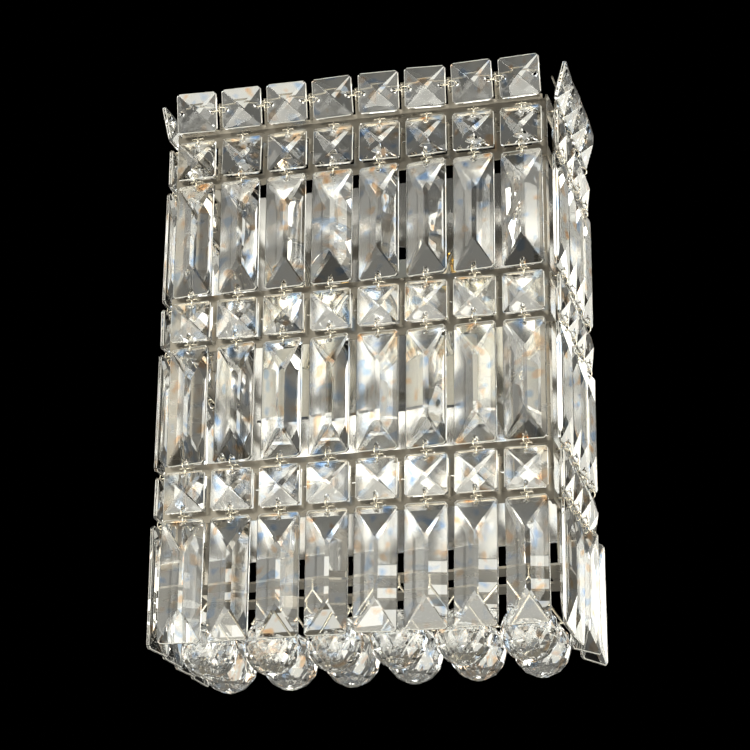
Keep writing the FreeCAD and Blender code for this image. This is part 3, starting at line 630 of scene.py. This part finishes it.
def bulb_axis(node):
    """The upright line through the middle of a bulb."""
    low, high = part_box(node)
    return Vector(((low.x + high.x) / 2, (low.y + high.y) / 2, 0.0))


def holder_rim(side):
    """The level of the top of a lamp holder."""
    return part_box("lamp_holder_" + side)[1].z


# %% Glass flame
GLASS_WALL = 0.7 * MM
SHELL_RADIUS = 5.9 * MM
FLAME_FOOT = 0.01
# The outline above the foot, in shares of the bulb's half width and its height above the rim.
FLAME_OUTLINE = ((0.42, 0.06), (0.66, 0.15), (0.93, 0.28), (0.97, 0.42), (0.80, 0.60), (0.52, 0.77),
                 (0.26, 0.90), (0.08, 0.975), (0.0, 0.995))


def make_flame(side):
    """The glass, open at the foot where the screw shell closes it."""
    node = "bulb_" + side
    low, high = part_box(node)
    rim = holder_rim(side)
    belly = (high.x - low.x) / 2
    tall = high.z - rim
    outline = [(SHELL_RADIUS, rim + FLAME_FOOT * tall)]
    outline += [(width * belly, rim + height * tall) for width, height in FLAME_OUTLINE]
    flame = make_piece("bulb_flame_" + side, spun(outline, bulb_axis(node)), [bulb_glass],
                       node)
    add_smoothing(flame, 1)
    wall = flame.modifiers.new("glass_wall", "SOLIDIFY")
    wall.thickness = GLASS_WALL
    wall.offset = -1.0
    return flame


# %% Screw shell
THREAD_PITCH = 2.1 * MM
THREADS = 7
THREAD_VALLEY = 0.90
SHELL_TIP = 0.6
SHELL_LIFT = 1.0 * MM
SHELL_PAST_RIM = 1.2 * MM


def make_shell(side):
    """The brass screw shell: a round thread for every pitch, closed at both ends."""
    node = "bulb_" + side
    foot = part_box(node)[0].z + SHELL_LIFT
    outline = [(0.0, foot), (SHELL_TIP * SHELL_RADIUS, foot)]
    for thread in range(THREADS):
        level = foot + (thread + 1) * THREAD_PITCH
        outline += [(THREAD_VALLEY * SHELL_RADIUS, level - 0.5 * THREAD_PITCH), (SHELL_RADIUS, level)]
    top = holder_rim(side) + SHELL_PAST_RIM
    outline += [(SHELL_RADIUS, top), (0.0, top)]
    return make_piece("bulb_shell_" + side, spun(outline, bulb_axis(node)), [brass], node,
                      replaces=False)


# %% Filament
FILAMENT_RADIUS = 0.2 * MM
# The loop's corners in millimetres: across from the bulb's axis, and up from the holder's rim.
FILAMENT_LOOP = ((-2.0, 1.0), (-2.5, 22.0), (-4.5, 38.0), (-2.5, 43.0), (0.0, 40.0), (2.5, 43.0),
                 (4.5, 38.0), (2.5, 22.0), (2.0, 1.0))


def make_filament(side):
    """A bent loop of wire that stands on its own two ends."""
    node = "bulb_" + side
    rim = holder_rim(side)
    axis = bulb_axis(node)
    curve = bpy.data.curves.new("filament_" + side, "CURVE")
    curve.dimensions = "3D"
    curve.bevel_depth = FILAMENT_RADIUS
    curve.bevel_resolution = 1
    route = curve.splines.new("POLY")
    route.points.add(len(FILAMENT_LOOP) - 1)
    for point, (across, level) in zip(route.points, FILAMENT_LOOP):
        point.co = (axis.x + across * MM, axis.y, rim + level * MM, 1.0)
    curve.materials.append(tungsten)
    filament = add_object("filament_" + side, curve)
    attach(filament, body_of_node[node])
    return filament


# %% Both bulbs
for side in ("left", "right"):
    made = (make_flame(side), make_shell(side), make_filament(side))
    print("bulb", side, [piece.name for piece in made])

# %% [markdown]
# ## The studio
# Cut crystal shows what is around it, so the studio matters more than the lamps' strength: large soft
# boxes give broad white facets, and the dark room between them gives the grey and black ones.  Each box
# is placed by the direction it shines from, seen from the sconce, and its power is in watts.

# %% Studio helpers
LAMP_DISTANCE = 1.9
BOX_SIZE = 0.9
LAMP_COLOUR = "#FFFDF2"
PAINT_ROUGHNESS = 0.9
sconce_middle = (Vector(cad_box[0]) + Vector(cad_box[1])) / 2


def stage_plane(name, width, place, colour):
    """A flat square of the studio, which isn't part of the sconce."""
    sheet = bmesh.new()
    bmesh.ops.create_grid(sheet, x_segments=1, y_segments=1, size=0.5)
    bmesh.ops.scale(sheet, vec=(width, width, 1.0), verts=sheet.verts)
    bmesh.ops.translate(sheet, vec=place, verts=sheet.verts)
    mesh = bpy.data.meshes.new(name)
    sheet.to_mesh(mesh)
    sheet.free()
    mesh.materials.append(new_material(
        name + "_paint", Base_Color=linear(colour), Roughness=PAINT_ROUGHNESS)[0])
    plane = add_object(name, mesh)
    return plane


def soft_box(name, bearing, height, power):
    """A square area lamp in a direction from the sconce, in degrees to the right and up."""
    data = bpy.data.lights.new(name, "AREA")
    data.size = BOX_SIZE
    data.energy = power
    data.color = linear(LAMP_COLOUR)[:3]
    side, lift = math.radians(bearing), math.radians(height)
    outward = Vector((math.sin(side) * math.cos(lift), -math.cos(side) * math.cos(lift),
                      math.sin(lift)))
    lamp = add_object(name, data)
    lamp.location = sconce_middle + outward * LAMP_DISTANCE
    lamp.rotation_euler = outward.to_track_quat("Z", "Y").to_euler()
    return lamp


# %% Floor and soft boxes
FLOOR_WIDTH = 8.0
FLOOR_LEVEL = -0.95
STUDIO_LAMPS = {
    "low_side": (-90.0, -20.0, 10.0),
    "low_left": (-30.0, -20.0, 18.0),
    "low_front": (0.0, -20.0, 18.0),
    "low_right": (30.0, -20.0, 15.0),
    "left": (-90.0, 15.0, 6.5),
    "front_left": (-60.0, 15.0, 4.0),
    "front_near": (-30.0, 15.0, 5.0),
    "front_right": (30.0, 15.0, 6.0),
    "right_front": (60.0, 15.0, 12.0),
    "right": (90.0, 15.0, 9.0),
    "back_right": (150.0, 15.0, 9.0),
    "back_left": (-150.0, 15.0, 1.6),
    "top": (0.0, 85.0, 16.0),
}
stage_plane("floor", FLOOR_WIDTH, (0.0, 0.0, FLOOR_LEVEL), "#D8D8D6")
for name, (bearing, height, power) in STUDIO_LAMPS.items():
    soft_box(name, bearing, height, power)
print("lamps:", list(STUDIO_LAMPS))

# %% [markdown]
# ## The room
# The photograph's background is plain black, but a black room would leave too many facets black.  So
# the room is a dim grey to every ray except the camera's own, which see black.

# %% Room light
ROOM_LEVEL = 0.12
world = bpy.data.worlds.new("studio_room")
world.use_nodes = True
bpy.context.scene.world = world
room = world.node_tree
room.nodes.clear()
path = add_node(room, "ShaderNodeLightPath")
wall_grey = [ROOM_LEVEL * value for value in linear(LAMP_COLOUR)[:3]] + [1.0]
shade = add_node(room, "ShaderNodeMixRGB", links={"Fac": path.outputs["Is Camera Ray"]},
                 inputs={"Color1": wall_grey, "Color2": (0.0, 0.0, 0.0, 1.0)})
backdrop = add_node(room, "ShaderNodeBackground", inputs={"Strength": 1.0},
                    links={"Color": shade.outputs[0]})
add_node(room, "ShaderNodeOutputWorld", links={"Surface": backdrop.outputs[0]})
bpy.context.scene.view_settings.view_transform = "Standard"
print("room level:", ROOM_LEVEL)
